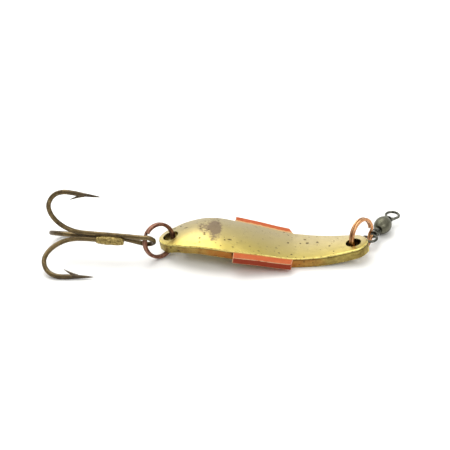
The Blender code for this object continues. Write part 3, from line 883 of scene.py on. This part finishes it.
def makeTreble(wireFinish, brazeFinish):
    centre, outward, upright = ringFrame("tail")
    rise = treble["eyeRise"]
    onWire = centre + (outward * math.cos(rise) + upright * math.sin(rise)) * ringWire["radius"]
    turned = Matrix.Rotation(treble["yaw"], 4, "Z") @ Matrix.Rotation(treble["pitch"], 4, "Y")
    hang = Matrix.Translation((treble["eyeHang"], 0, 0))
    place = atOrigin @ Matrix.Translation(onWire) @ turned @ hang

    def addTreble(name, mesh, finish, replaced):
        addPiece(name, mesh, "treble", finish, place, replaced)

    angles = treble["angles"]
    upper, far = hookPoints(angles["upper"]), hookPoints(angles["far"])
    joined = curveThrough([upper[0], *eyePoints()[::4], far[0]], 12)
    path = upper[:0:-1] + joined + far[1:]
    shares = hookShares(upper)[:0:-1] + [1.0] * len(joined) + hookShares(far)[1:]
    mesh = sweepMesh("trebleTwinHook", path, wireSections(shares))
    mesh = joinBarbs(mesh, [angles["upper"], angles["far"]])
    addTreble("trebleTwinHook", mesh, wireFinish, ["treble_twin_hook"])

    near = [point for point in hookPoints(angles["near"]) if -point.x > treble["singleStart"]]
    start = Vector((-treble["singleStart"], 0, 0)) + awayFrom(angles["near"]) * treble["shankOffset"]
    mesh = sweepMesh("trebleSingleHook", [start, *near], wireSections([1.0, *hookShares(near)]))
    mesh = joinBarbs(mesh, [angles["near"]])
    addTreble("trebleSingleHook", mesh, wireFinish, ["treble_single_hook"])
    addTreble("trebleBraze", brazeMesh(), brazeFinish, ["treble_braze"])


def brazeMesh():
    # Filler that has run round the single hook's shank and into the corners beside it
    steps, sides = 70, 44
    start, end = treble["brazeStart"], treble["brazeEnd"]
    points, sections = [], []
    middle = awayFrom(treble["angles"]["near"]) * treble["shankOffset"] * 0.92
    for step in range(steps + 1):
        share = step / steps
        swell = max(math.sin(math.pi * share), 0) ** 0.3
        along = start + (end - start) * share
        points.append(Vector((-along, 0, 0)) + middle)
        section = []
        for a, b in roundSection(treble["brazeRadius"] * (0.5 + 0.5 * swell), sides):
            lump = noise.noise(Vector((along * 700, a * 900, b * 900)))
            fine = noise.noise(Vector((along * 2600, a * 2600, b * 2600)))
            uneven = 1 + 0.10 * lump + 0.035 * fine
            section.append((a * uneven, b * uneven))
        sections.append(section)
    return sweepMesh("trebleBraze", points, sections)


# Barrel swivel: each eye is one wire, with a head inside the barrel and wraps round its own stem
swivel = {
    "wire": 0.4 * mm,
    "loop": 2.0 * mm,
    "headShare": 2.3,
    "headLength": 1.1 * mm,
    "headProfile": [(0, 0.5), (0.06, 0.8), (0.16, 0.95), (0.35, 1), (0.75, 1), (0.9, 0.96), (1, 0.8)],
    "headStart": 0.45 * mm,
    "wrapRadius": 0.85 * mm,
    "wrapPitch": 0.86 * mm,
    "wrapSteps": 36,
    "wrapStart": math.radians(-80),
    "loopStart": math.radians(215),
    "loopTurn": math.radians(305),
    "loopSteps": 60,
    "lureTurns": 3,
    "lineTurns": 1,
    "play": 0.3 * mm,
    "roll": math.radians(2),
    "bore": 0.6,
    "halfLength": 3.0 * mm,
    "outside": [(3.0, 1.3), (2.75, 1.55), (2.3, 1.93), (1.6, 2.32), (0.8, 2.55), (0.0, 2.62)],
    "mouth": [(2.9, 0.6), (3.0, 0.72), (3.0, 1.18)],
    "inside": [(0.0, 2.1), (0.9, 2.0), (1.6, 1.7), (2.1, 1.2)],
}


def swivelEyeMesh(name, turns):
    wire, loop, pitch = swivel["wire"], swivel["loop"], swivel["wrapPitch"]
    wrapsEnd = swivel["halfLength"] + wire + 0.2 * mm + turns * pitch
    centre = wrapsEnd + 0.45 * mm + loop
    points, shares = [], []
    for share, size in swivel["headProfile"]:
        points.append(Vector((swivel["headStart"] + swivel["headLength"] * share, 0, 0)))
        shares.append(swivel["headShare"] * size)
    headEnd = swivel["headStart"] + swivel["headLength"]
    for along in (headEnd + 0.05 * mm, wrapsEnd - 1.1 * mm, wrapsEnd - 0.3 * mm):
        points.append(Vector((along, 0, 0)))
    bend = []
    for step in range(swivel["loopSteps"] + 1):
        angle = swivel["loopStart"] - swivel["loopTurn"] * step / swivel["loopSteps"]
        bend.append(Vector((centre + loop * math.cos(angle), loop * math.sin(angle), 0)))
    wraps = []
    for step in range(turns * swivel["wrapSteps"] + 1):
        share = step / swivel["wrapSteps"]
        angle = swivel["wrapStart"] - 2 * math.pi * share
        outward = Vector((0, math.cos(angle), math.sin(angle))) * swivel["wrapRadius"]
        wraps.append(Vector((wrapsEnd - pitch * share, 0, 0)) + outward)
    points += bend
    points += curveThrough([bend[-2], bend[-1], wraps[0], wraps[1]], 6)[7:12]
    points += wraps
    shares += [1] * (len(points) - len(shares))
    sections = [roundSection(wire * share, 18) for share in shares]
    sections[-1] = roundSection(wire * 0.8, 18)
    mesh = sweepMesh(name, points, sections)
    markEdges(mesh, 1, 40)
    return mesh


def barrelMesh():
    # One half of the outline from the bore round the outside, then the other half and the hollow
    outside, mouth, hollow = [
        [(radius, along) for along, radius in swivel[part]] for part in ("outside", "mouth", "inside")
    ]
    upper = [(swivel["bore"], hollow[-1][1]), *mouth]
    upper += [tuple(point) for point in curveThrough(outside, 7)]
    outline = upper + [(radius, -along) for radius, along in reversed(upper[:-1])]
    outline += [(radius, -along) for radius, along in reversed(hollow)]
    outline += [(radius, along) for radius, along in hollow[1:]]
    mesh = turnedMesh("swivelBarrel", [(radius * mm, along * mm) for radius, along in outline], 96)
    roughen(mesh, 1.5 * mm, 0.02 * mm, 6)
    markEdges(mesh, 1, 40)
    return mesh


def makeSwivel(wireFinish, barrelFinish):
    joint = joints["barrel_spin"]
    middle, axis = Vector(joint["pos_m"]), Vector(joint["axis"])
    heading = Matrix.Rotation(math.atan2(axis.y, axis.x), 4, "Z")
    turned = heading @ Matrix.Rotation(math.pi, 4, "Z")
    place = Matrix.Translation(middle - axis * swivel["play"]) @ turned
    mesh = swivelEyeMesh("swivelLureEye", swivel["lureTurns"])
    addPiece("swivelLureEye", mesh, "lure_eye", wireFinish, place, ["swivel_lure_eye"])
    place = Matrix.Translation(middle) @ heading @ Matrix.Rotation(swivel["roll"], 4, "X")
    mesh = swivelEyeMesh("swivelLineEye", swivel["lineTurns"])
    addPiece("swivelLineEye", mesh, "line_eye", wireFinish, place, ["swivel_line_eye"])
    place = Matrix.Translation(middle) @ heading @ Matrix.Rotation(math.pi / 2, 4, "Y")
    mesh = barrelMesh()
    addPiece("swivelBarrel", mesh, "barrel", barrelFinish, place, ["swivel_barrel"])


brassLook = {
    # near and far: painted reflection, yellow at the near rim and cream-grey where the far half reflects
    # the backdrop
    "near": (0.475, 0.378, 0.096),
    "far": (0.485, 0.405, 0.232),
    # the two side tones: mottled tarnish, with the darker one also painting shade on the sides
    "sideClean": (0.46, 0.36, 0.10),
    "sideShadeAndTarnish": (0.17, 0.12, 0.035),
    "overspray": (0.44, 0.13, 0.02),
    "cloud": (0.50, 0.40, 0.14),
    "belly": (0.42, 0.33, 0.09),
    "patch": (0.175, 0.125, 0.092),
    "pit": (0.07, 0.045, 0.015),
    "scratch": (0.85, 0.74, 0.36),
    "wornRim": (0.88, 0.76, 0.26),
    # dark for the groove under the rim, and painted shade on the hole walls
    "dirtAndShade": (0.045, 0.03, 0.012),
    "sprayTail": (-26 * mm, -12 * mm),
    "sprayNose": (20 * mm, 10 * mm),
    "sprayWobble": 12 * mm,
    "patchPlace": (-15.0 * mm, 1.6 * mm, 0),
    "patchSize": (2.8 * mm, 7.0 * mm, 30 * mm),
    "speckPlace": (-17.6 * mm, 2.2 * mm, 0),
    "speckSize": (3.0 * mm, 5.2 * mm, 30 * mm),
    # x, y and half length of the largest nicks, in mm
    "nicks": [
        (-23.4, 2.5, 0.8),
        (-9.9, -3.8, 0.9),
        (14.7, -6.6, 0.8),
        (-1.2, -6.4, 0.5),
        (4.0, -2.5, 0.5),
    ],
    "roughness": 0.31,
}


def brassMaterial():
    look = brassLook
    material, sheet, shader, place = newMaterial("polishedBrass")
    across, top = sheet.read("across"), sheet.read("top")
    side, edge = sheet.read("side"), sheet.read("edge")

    # the upper face, yellower towards its near rim and cream-grey towards its far rim: painted reflection
    # of the backdrop
    wander = sheet.noise(place, 120.0, 3.0)
    drift = sheet.math("MULTIPLY_ADD", wander, 0.5, across)
    upper = sheet.mix(sheet.ramp(drift, -0.55, 1.0), look["near"], look["far"])
    clouds = sheet.ramp(sheet.noise(place, 420.0, 5.0, 0.65), 0.35, 0.75)
    upper = sheet.mix(sheet.times(clouds, 0.22), upper, look["cloud"])

    # the sides, rougher and darker, mottled with tarnish and painted shade, orange-brown where the fins'
    # paint has drifted on to them
    clean, dull = (*look["sideClean"], 1), (*look["sideShadeAndTarnish"], 1)
    mottled = {"Vector": place, "Clean": clean, "Dull": dull, "Scale": 330.0, "Amount": 0.5}
    sides = sheet.group(tarnish, mottled)["Color"]
    x = sheet.add("ShaderNodeSeparateXYZ", {0: place}).outputs[0]
    wobble = sheet.times(sheet.math("SUBTRACT", sheet.noise(place, 260.0), 0.5), look["sprayWobble"])
    moved = sheet.math("ADD", x, wobble)
    tailFade = sheet.ramp(moved, *look["sprayTail"])
    noseFade = sheet.ramp(moved, *look["sprayNose"])
    stretched = sheet.place(place, scale=(1, 4, 4))
    streaks = sheet.ramp(sheet.noise(stretched, 500.0, 4.0), 0.2, 0.75, 0.55, 1.0)
    spray = sheet.times(sheet.times(tailFade, noseFade), streaks)
    sides = sheet.mix(sheet.times(spray, 0.85), sides, look["overspray"])
    colour = sheet.mix(side, upper, sides)
    under = sheet.times(sheet.math("SUBTRACT", 1.0, top), sheet.math("SUBTRACT", 1.0, side))
    colour = sheet.mix(under, colour, look["belly"])

    # a worn patch with specks beside it
    def reachFrom(centre, size):
        scaled = sheet.vector("DIVIDE", sheet.vector("SUBTRACT", place, centre), size)
        return sheet.vector("LENGTH", scaled, output="Value")

    reach = reachFrom(look["patchPlace"], look["patchSize"])
    ragged = sheet.math("SUBTRACT", sheet.noise(place, 420.0, 5.0, 0.7), 0.5)
    patchEdge = sheet.math("MULTIPLY_ADD", ragged, 1.5, reach)
    patch = sheet.times(sheet.ramp(patchEdge, 1.0, 0.72), top)
    specks = sheet.ramp(sheet.noise(place, 900.0, 4.0, 0.6), 0.45, 0.52)
    speckReach = reachFrom(look["speckPlace"], look["speckSize"])
    halo = sheet.times(sheet.ramp(speckReach, 1.0, 0.6), specks)
    halo = sheet.times(sheet.times(halo, top), 0.9)
    patch = sheet.math("MAXIMUM", patch, halo)
    colour = sheet.mix(sheet.times(patch, 0.82), colour, look["patch"])

    # pits, scratches and the bright worn rim
    jagged = sheet.add("ShaderNodeTexNoise", {"Vector": place, "Scale": 2200.0}).outputs["Color"]
    shift = sheet.vector("MULTIPLY", jagged, (0.5 * mm, 0.5 * mm, 0.5 * mm))
    bent = sheet.vector("ADD", place, shift)
    small = sheet.group(pits, {"Vector": bent, "Scale": 800.0, "Size": 0.75, "Share": 0.5})["Mask"]
    large = sheet.group(pits, {"Vector": bent, "Scale": 300.0, "Size": 0.45, "Share": 0.55})["Mask"]
    crowd = sheet.ramp(sheet.noise(place, 150.0, 2.0), 0.4, 0.58, 0.1, 1.0)
    pitted = sheet.times(sheet.math("MAXIMUM", small, large), crowd)
    for nickX, nickY, size in look["nicks"]:
        shifted = sheet.vector("SUBTRACT", bent, (nickX * mm, nickY * mm, 0))
        flat = sheet.place(shifted, scale=(1 / (size * mm), 2.2 / (size * mm), 0))
        reach = sheet.vector("LENGTH", flat, output="Value")
        pitted = sheet.math("MAXIMUM", pitted, sheet.times(sheet.ramp(reach, 1.0, 0.6), top))
    colour = sheet.mix(sheet.times(pitted, 0.9), colour, look["pit"])
    scratched = sheet.group(scratches, {"Vector": place, "Scale": 500.0})["Mask"]
    colour = sheet.mix(sheet.times(scratched, 0.25), colour, look["scratch"])
    rim = {"Vector": place, "Edge": edge, "Scale": 900.0, "Amount": 0.45}
    worn = sheet.group(edgeWear, rim)["Mask"]
    colour = sheet.mix(sheet.times(worn, 0.7), colour, look["wornRim"])
    # dark in the groove under the rim, and painted shade on the hole walls
    colour = sheet.mix(sheet.read("dirtAndShade"), colour, look["dirtAndShade"])
    sheet.join(colour, shader.inputs["Base Color"])

    shader.inputs["Metallic"].default_value = 1.0
    rough = sheet.ramp(sheet.noise(place, 600.0, 5.0, 0.6), 0.3, 0.75, look["roughness"] - 0.05, 0.42)
    rough = sheet.math("MULTIPLY_ADD", patch, 0.28, rough)
    rough = sheet.math("MULTIPLY_ADD", side, 0.12, rough)
    rough = sheet.math("MULTIPLY_ADD", spray, sheet.times(side, 0.12), rough, clamp=True)
    sheet.join(rough, shader.inputs["Roughness"])
    fine = sheet.noise(place, 2600.0, 4.0, 0.6)
    height = sheet.math("MULTIPLY_ADD", fine, 0.25, sheet.times(pitted, -1.0))
    height = sheet.math("MULTIPLY_ADD", scratched, -0.15, height)
    height = sheet.math("MULTIPLY_ADD", patch, 0.25, height)
    sheet.join(sheet.bump(height, 0.06 * mm, 0.7), shader.inputs["Normal"])
    return material


paintLook = {
    "deep": (0.42, 0.072, 0.011),
    "light": (0.50, 0.105, 0.018),
    # the outer faces: the same paint, darker as painted shade
    "outerFaceShade": (0.25, 0.026, 0.004),
    "brushMark": (0.26, 0.028, 0.008),
    "rubbed": (0.62, 0.25, 0.11),
    "chipped": (0.60, 0.42, 0.24),
    "bare": (0.58, 0.40, 0.17),
    "dot": (0.2, 0.05, 0.02),
}


def finMaterial():
    look = paintLook
    material, sheet, shader, place = newMaterial("finPaint")
    edge = sheet.read("edge")
    tone = sheet.ramp(sheet.noise(place, 380.0, 4.0), 0.3, 0.7)
    paint = sheet.mix(tone, look["deep"], look["light"])
    # outer faces darker than the top: painted shade
    paint = sheet.mix(sheet.read("outer"), paint, look["outerFaceShade"])
    brushed = sheet.noise(sheet.place(place, scale=(1, 7, 7)), 700.0, 4.0, 0.6)
    paint = sheet.mix(sheet.ramp(brushed, 0.5, 0.8, 0.0, 0.35), paint, look["brushMark"])
    chips = {"Vector": place, "Edge": edge, "Scale": 700.0, "Amount": 0.30}
    chipped = sheet.group(edgeWear, chips)["Mask"]
    rubbed = sheet.group(edgeWear, {**chips, "Scale": 1500.0, "Amount": 0.5})["Mask"]
    paint = sheet.mix(sheet.times(rubbed, 0.3), paint, look["rubbed"])
    paint = sheet.mix(sheet.times(chipped, 0.8), paint, look["chipped"])
    bare = sheet.math("MULTIPLY_ADD", sheet.noise(place, 600.0, 4.0), 0.8, sheet.read("root"))
    bare = sheet.times(sheet.ramp(bare, 0.95, 1.15), 0.75)
    paint = sheet.mix(bare, paint, look["bare"])
    dots = sheet.group(pits, {"Vector": place, "Scale": 800.0, "Size": 0.5, "Share": 0.66})["Mask"]
    paint = sheet.mix(sheet.times(dots, 0.7), paint, look["dot"])
    sheet.join(paint, shader.inputs["Base Color"])
    sheet.join(sheet.ramp(brushed, 0.3, 0.7, 0.42, 0.62), shader.inputs["Roughness"])
    height = sheet.math("MULTIPLY_ADD", chipped, -0.8, sheet.times(brushed, 0.5))
    sheet.join(sheet.bump(height, 0.05 * mm, 0.6), shader.inputs["Normal"])
    shader.inputs["Specular IOR Level"].default_value = 0.22
    return material


# marks names what a mesh carries for its colours: edge, fromTip or groove; the groove darkening is
# painted shade between a ring's two turns
wireLook = {
    "point": (0.06, 0.047, 0.038),
    # groove: painted shade between a ring's two turns
    "groove": (0.03, 0.012, 0.008),
    "pointFade": (12 * mm, 4 * mm),
    "tarnishedCopper": {
        "clean": (0.24, 0.105, 0.07),
        "dull": (0.08, 0.032, 0.022),
        "worn": (0.46, 0.25, 0.17),
        "amount": 0.46,
        "roughness": 0.34,
        "scale": 200.0,
        "marks": ["edge", "groove"],
    },
    "brightCopper": {
        "clean": (0.52, 0.235, 0.095),
        "dull": (0.34, 0.125, 0.05),
        "worn": (0.74, 0.45, 0.24),
        "amount": 0.40,
        "roughness": 0.24,
        "scale": 120.0,
        "marks": ["edge", "groove"],
    },
    "bronzedWire": {
        "clean": (0.185, 0.132, 0.062),
        "dull": (0.05, 0.034, 0.019),
        "worn": (0.34, 0.27, 0.13),
        "amount": 0.47,
        "roughness": 0.30,
        "scale": 260.0,
        "marks": ["fromTip"],
    },
    "gunmetalWire": {
        "clean": (0.10, 0.10, 0.08),
        "dull": (0.03, 0.03, 0.022),
        "worn": (0.28, 0.28, 0.24),
        "amount": 0.5,
        "roughness": 0.30,
        "scale": 420.0,
        "marks": ["edge"],
    },
    "gunmetalBarrel": {
        "clean": (0.155, 0.15, 0.11),
        "dull": (0.07, 0.07, 0.042),
        "worn": (0.26, 0.25, 0.18),
        "amount": 0.42,
        "roughness": 0.36,
        "scale": 260.0,
        "marks": [],
    },
}


def wireMaterial(name):
    # One family of finishes: two tones of a metal, worn high spots and a drawn grain
    look = wireLook[name]
    marks = look["marks"]
    material, sheet, shader, place = newMaterial(name)
    tones = {"Vector": place, "Scale": look["scale"], "Amount": look["amount"]}
    tones.update({"Clean": (*look["clean"], 1), "Dull": (*look["dull"], 1)})
    toned = sheet.group(tarnish, tones)
    colour, mask = toned["Color"], toned["Mask"]
    if "fromTip" in marks:
        nearTip = sheet.ramp(sheet.read("fromTip"), *wireLook["pointFade"])
        ragged = sheet.times(nearTip, sheet.ramp(sheet.noise(place, 500.0), 0.2, 0.6, 0.6, 1.0))
        colour = sheet.mix(sheet.times(ragged, 0.8), colour, wireLook["point"])
    if "groove" in marks:
        # painted shade in the gap between a ring's two turns
        groove = sheet.times(sheet.read("groove"), 0.88)
        colour = sheet.mix(groove, colour, wireLook["groove"])
    stretched = sheet.place(place, scale=(0.6, 1, 1))
    rubs = sheet.ramp(sheet.noise(stretched, 900.0, 5.0, 0.7), 0.58, 0.7)
    if "edge" in marks:
        values = {"Vector": place, "Edge": sheet.read("edge"), "Scale": 1100.0, "Amount": 0.5}
        rubs = sheet.math("MAXIMUM", rubs, sheet.group(edgeWear, values)["Mask"])
    colour = sheet.mix(sheet.times(rubs, 0.45), colour, look["worn"])
    sheet.join(colour, shader.inputs["Base Color"])
    shader.inputs["Metallic"].default_value = 1.0
    sheet.join(sheet.math("MULTIPLY_ADD", mask, 0.16, look["roughness"]), shader.inputs["Roughness"])
    grain = sheet.noise(place, 3200.0, 4.0, 0.65)
    specks = sheet.group(pits, {"Vector": place, "Scale": 1500.0, "Size": 0.5, "Share": 0.55})["Mask"]
    height = sheet.math("MULTIPLY_ADD", specks, -0.7, sheet.times(grain, 0.5))
    sheet.join(sheet.bump(height, 0.04 * mm, 0.6), shader.inputs["Normal"])
    return material


brazeLook = {
    "crevice": (0.13, 0.09, 0.03),
    "crust": (0.50, 0.38, 0.14),
    "dirtAndShade": (0.10, 0.07, 0.03),
}


def brazeMaterial():
    look = brazeLook
    material, sheet, shader, place = newMaterial("goldenBraze")
    crust = sheet.noise(place, 1500.0, 6.0, 0.75)
    colour = sheet.mix(sheet.ramp(crust, 0.35, 0.65), look["crevice"], look["crust"])
    dirtAndShade = sheet.ramp(sheet.noise(place, 420.0, 4.0, 0.7), 0.55, 0.72)
    colour = sheet.mix(sheet.times(dirtAndShade, 0.7), colour, look["dirtAndShade"])
    sheet.join(colour, shader.inputs["Base Color"])
    shader.inputs["Metallic"].default_value = 1.0
    sheet.join(sheet.ramp(crust, 0.3, 0.7, 0.62, 0.36), shader.inputs["Roughness"])
    sheet.join(sheet.bump(crust, 0.16 * mm, 1.0), shader.inputs["Normal"])
    return material


makePlate(brassMaterial())
print("spoon made")
painted = finMaterial()
makeFin("nearFin", -1, painted)
makeFin("farFin", 1, painted)
makeRing("tail", wireMaterial("tarnishedCopper"), "tail_ring")
makeRing("nose", wireMaterial("brightCopper"), "nose_ring")
print("fins and rings made")
makeTreble(wireMaterial("bronzedWire"), brazeMaterial())
print("treble hook made")
makeSwivel(wireMaterial("gunmetalWire"), wireMaterial("gunmetalBarrel"))
print("swivel made")


studio = {
    "azimuth": math.radians(2.4),
    "elevation": math.radians(30),
    "aim": Vector((-0.2, 14.35, 0)) * mm,
    "distance": 768 * mm,
    "lens": 200,
    "floorSize": 6.0,
    "worldTop": (1.0, 1.0, 0.985),
    "worldFront": (0.13, 0.125, 0.11),
    "worldStrength": 0.95,
    "floorColour": (0.93, 0.925, 0.905, 1),
    "floorRoughness": 0.5,
    # place in metres, disk size and watts
    "lights": {
        "overheadSoftbox": (Vector((-0.3, 0.5, 0.95)), 1.1, 9.0),
        "frontFill": (Vector((0.6, -0.7, 0.7)), 0.6, 2.7),
    },
}


def lookAlong(item, direction):
    item.rotation_mode = "QUATERNION"
    item.rotation_quaternion = direction.to_track_quat("-Z", "Y")


def makeCamera():
    data = bpy.data.cameras.new("camera")
    camera = linked("camera", data)
    a, e = studio["azimuth"], studio["elevation"]
    back = Vector((math.sin(a) * math.cos(e), -math.cos(a) * math.cos(e), math.sin(e)))
    camera.location = studio["aim"] + back * studio["distance"]
    lookAlong(camera, -back)
    data.lens = studio["lens"]
    data.sensor_width = 36
    data.clip_start, data.clip_end = 0.01, 100
    bpy.context.scene.camera = camera


def makeFloor():
    shape = bmesh.new()
    bmesh.ops.create_grid(shape, x_segments=8, y_segments=8, size=studio["floorSize"] / 2)
    floor = linked("floor", asMesh(shape, "floor"))
    material = bpy.data.materials.new("paleFloor")
    material.use_nodes = True
    shader = material.node_tree.nodes["Principled BSDF"]
    shader.inputs["Base Color"].default_value = studio["floorColour"]
    shader.inputs["Roughness"].default_value = studio["floorRoughness"]
    shader.inputs["Specular IOR Level"].default_value = 0.25
    floor.data.materials.append(material)


def makeLights():
    world = bpy.data.worlds.new("studio")
    bpy.context.scene.world = world
    world.use_nodes = True
    sheet = Sheet(world.node_tree)
    background = world.node_tree.nodes["Background"]
    direction = sheet.add("ShaderNodeTexCoord").outputs["Generated"]
    parts = sheet.add("ShaderNodeSeparateXYZ", {0: direction}).outputs
    height = sheet.ramp(parts["Z"], 0.05, 0.65)
    behind = sheet.ramp(parts["Y"], -0.35, 0.5)
    sky = sheet.math("MAXIMUM", height, behind)
    sheet.join(sheet.mix(sky, studio["worldFront"], studio["worldTop"]), background.inputs["Color"])
    background.inputs["Strength"].default_value = studio["worldStrength"]
    for name, (place, size, watts) in studio["lights"].items():
        data = bpy.data.lights.new(name, "AREA")
        data.shape = "DISK"
        data.size = size
        data.energy = watts
        light = linked(name, data)
        light.location = place
        lookAlong(light, -place)


makeCamera()
makeFloor()
makeLights()
bpy.context.scene.view_settings.view_transform = "Standard"
print("camera, floor and lights set")
